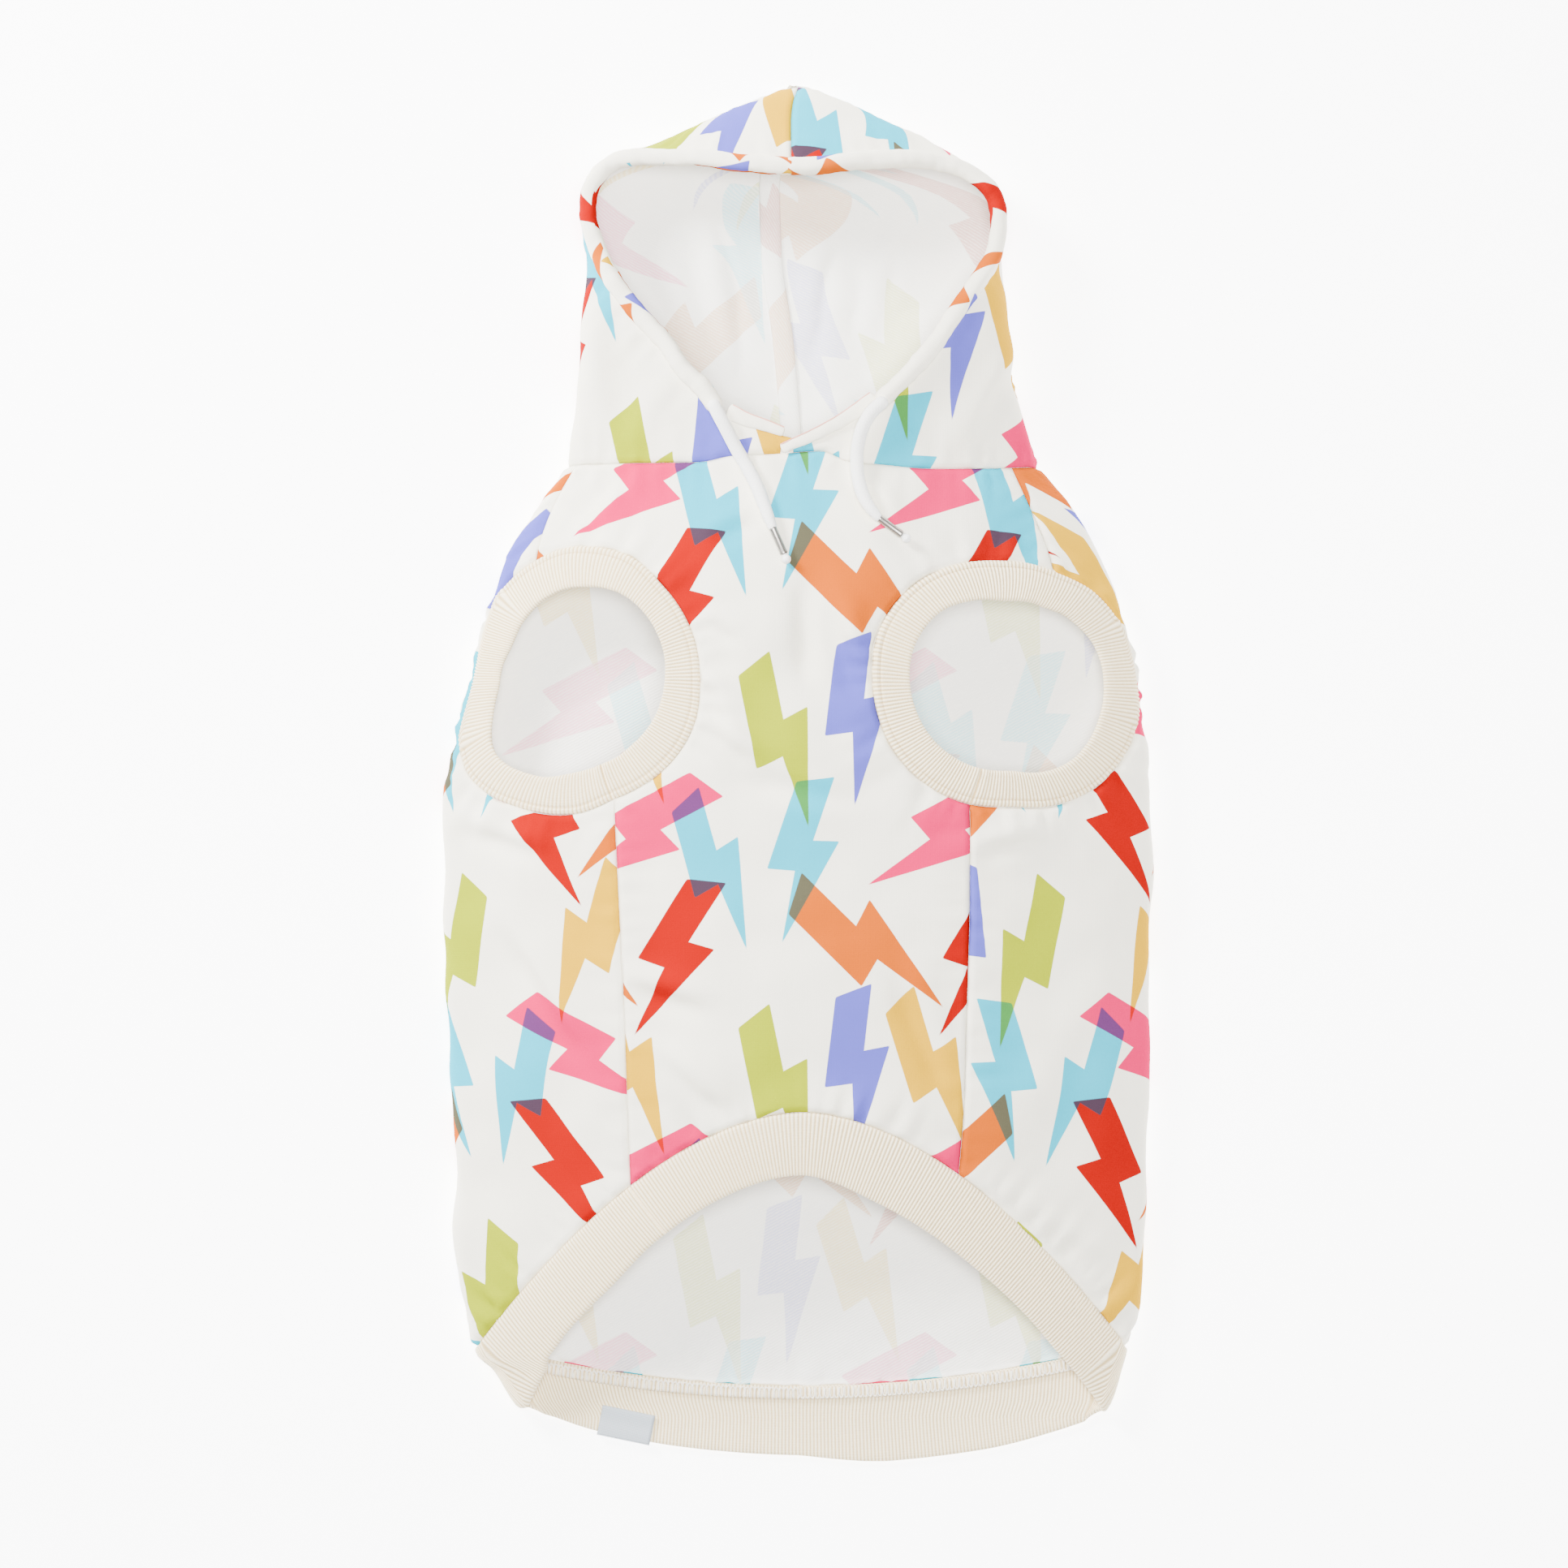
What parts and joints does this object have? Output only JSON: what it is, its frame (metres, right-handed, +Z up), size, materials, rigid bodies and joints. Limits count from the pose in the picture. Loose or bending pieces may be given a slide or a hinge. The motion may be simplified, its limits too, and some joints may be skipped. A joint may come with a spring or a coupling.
{
  "type": "dog hoodie",
  "caption": "Soft hooded dog sweatshirt with rib-knit leg and hem bands, a printed body and a drawcord, lying on its back with the belly up.",
  "frame": {"origin": "centre of the box's underside, where the back lies on the surface", "axes": "+Z up from the back to the belly, +Y from the hem to the hood's peak, +X to the right as seen from above with the hood at the top"},
  "size_m": [0.264, 0.5141, 0.0514],
  "materials": {
    "jersey": "printed cotton jersey",
    "casing": "turned and stitched jersey",
    "rib": "cream rib knit",
    "cord": "white woven cord",
    "aglet": "crimped metal",
    "tip": "white",
    "label": "woven"
  },
  "bodies": {
    "root": {"belly_panel": "jersey", "back_panel": "jersey", "hood_left": "jersey", "hood_right": "jersey", "casing_left": "casing", "casing_right": "casing", "front_band_left": "casing", "front_band_right": "casing", "leg_rib_left": "rib", "leg_rib_right": "rib", "hem_rib": "rib", "hem_label": "label", "drawcord_left": "cord", "drawcord_right": "cord", "aglet_left": "aglet", "aglet_right": "aglet", "cord_tip_left": "tip", "cord_tip_right": "tip"}
  },
  "joints": []
}
